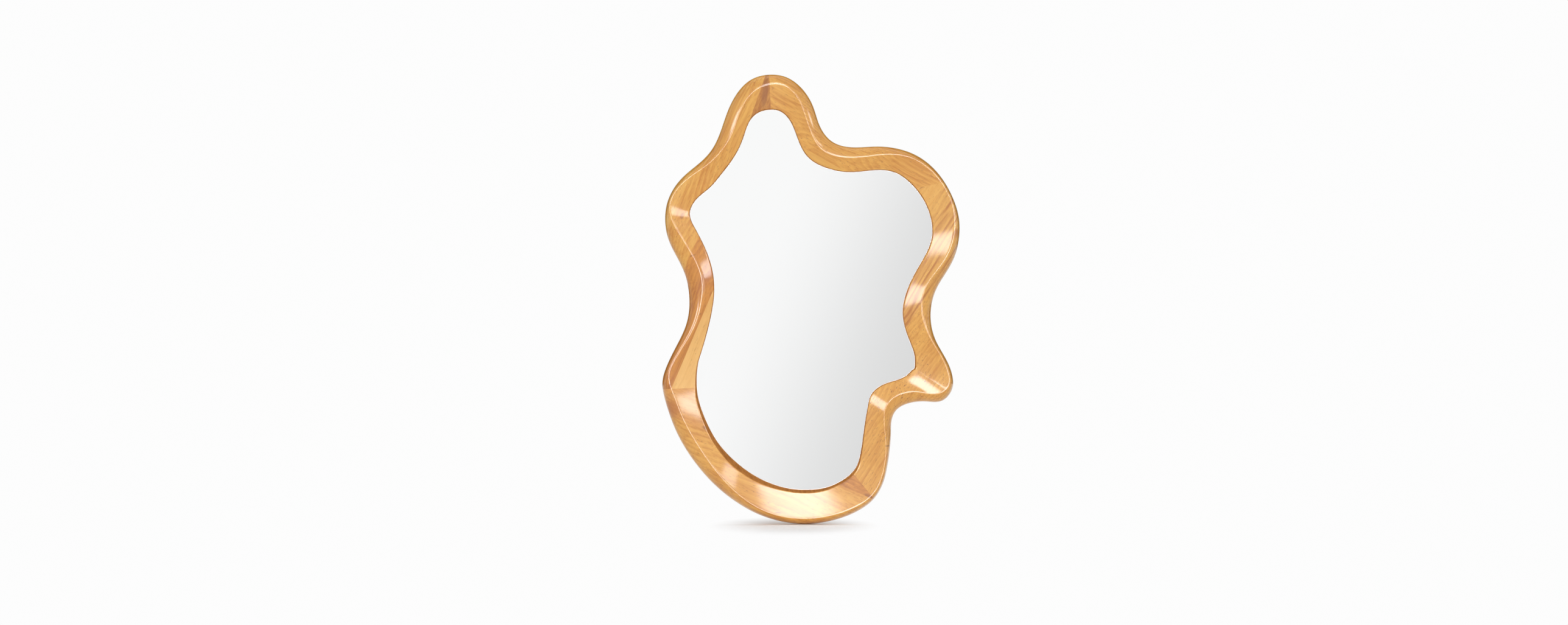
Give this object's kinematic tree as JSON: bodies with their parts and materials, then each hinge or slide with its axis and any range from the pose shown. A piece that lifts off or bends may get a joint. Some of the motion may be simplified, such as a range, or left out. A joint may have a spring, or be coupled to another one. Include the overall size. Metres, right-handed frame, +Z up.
{
  "type": "irregular shaped mirror",
  "caption": "Wall mirror in an irregular wavy outline: a flat pane in a carved solid-wood frame, with swinging hanging rings on the back.",
  "frame": {"origin": "midway between the two hangers' ring axes, on the plane of the frame's back", "axes": "+Z up, +X to the right seen from the front, the mirror looks along -Y and the wall is on the +Y side"},
  "size_m": [0.5956, 0.0436, 0.9009],
  "materials": {
    "wood_light": "clear semi-gloss lacquer",
    "wood_dark": "clear semi-gloss lacquer",
    "wood_striped": "clear semi-gloss lacquer",
    "tenon_wood": "bare",
    "mirror": "polished",
    "foam": "matte",
    "hardboard": "matte",
    "steel": "zinc plated",
    "bumper": "matte"
  },
  "bodies": {
    "mirror": {"left_board_main": "wood_light", "left_board_shoulder": "wood_light", "left_board_inner": "wood_light", "top_board_main": "wood_light", "top_board_bulge": "wood_light", "right_board_corner": "wood_light", "right_board_nose": "wood_light", "bottom_board_middle": "wood_light", "bottom_board_lower": "wood_light", "left_board_waist": "wood_dark", "left_board_apex": "wood_dark", "bottom_board_left": "wood_dark", "bottom_board_right": "wood_dark", "right_board_striped": "wood_striped", "tenon_apex": "tenon_wood", "tenon_upper_right": "tenon_wood", "tenon_lower_right": "tenon_wood", "tenon_lower_left": "tenon_wood", "mirror_pane": "mirror", "foam_tape": "foam", "back_panel": "hardboard", "panel_points": "steel", "hanger_strap_left": "steel", "hanger_screws_left": "steel", "hanger_strap_right": "steel", "hanger_screws_right": "steel", "wall_bumpers": "bumper"},
    "d_ring_left": {"d_ring_left": "steel"},
    "d_ring_right": {"d_ring_right": "steel"}
  },
  "joints": [
    {"name": "ring_swing_left", "type": "hinge", "parent": "mirror", "child": "d_ring_left", "pos_m": [-0.273, 0.00278, 0], "axis": [1, 0, 0], "range_deg": [0, 175]},
    {"name": "ring_swing_right", "type": "hinge", "parent": "mirror", "child": "d_ring_right", "pos_m": [0.273, 0.00278, 0], "axis": [1, 0, 0], "range_deg": [0, 175]}
  ]
}
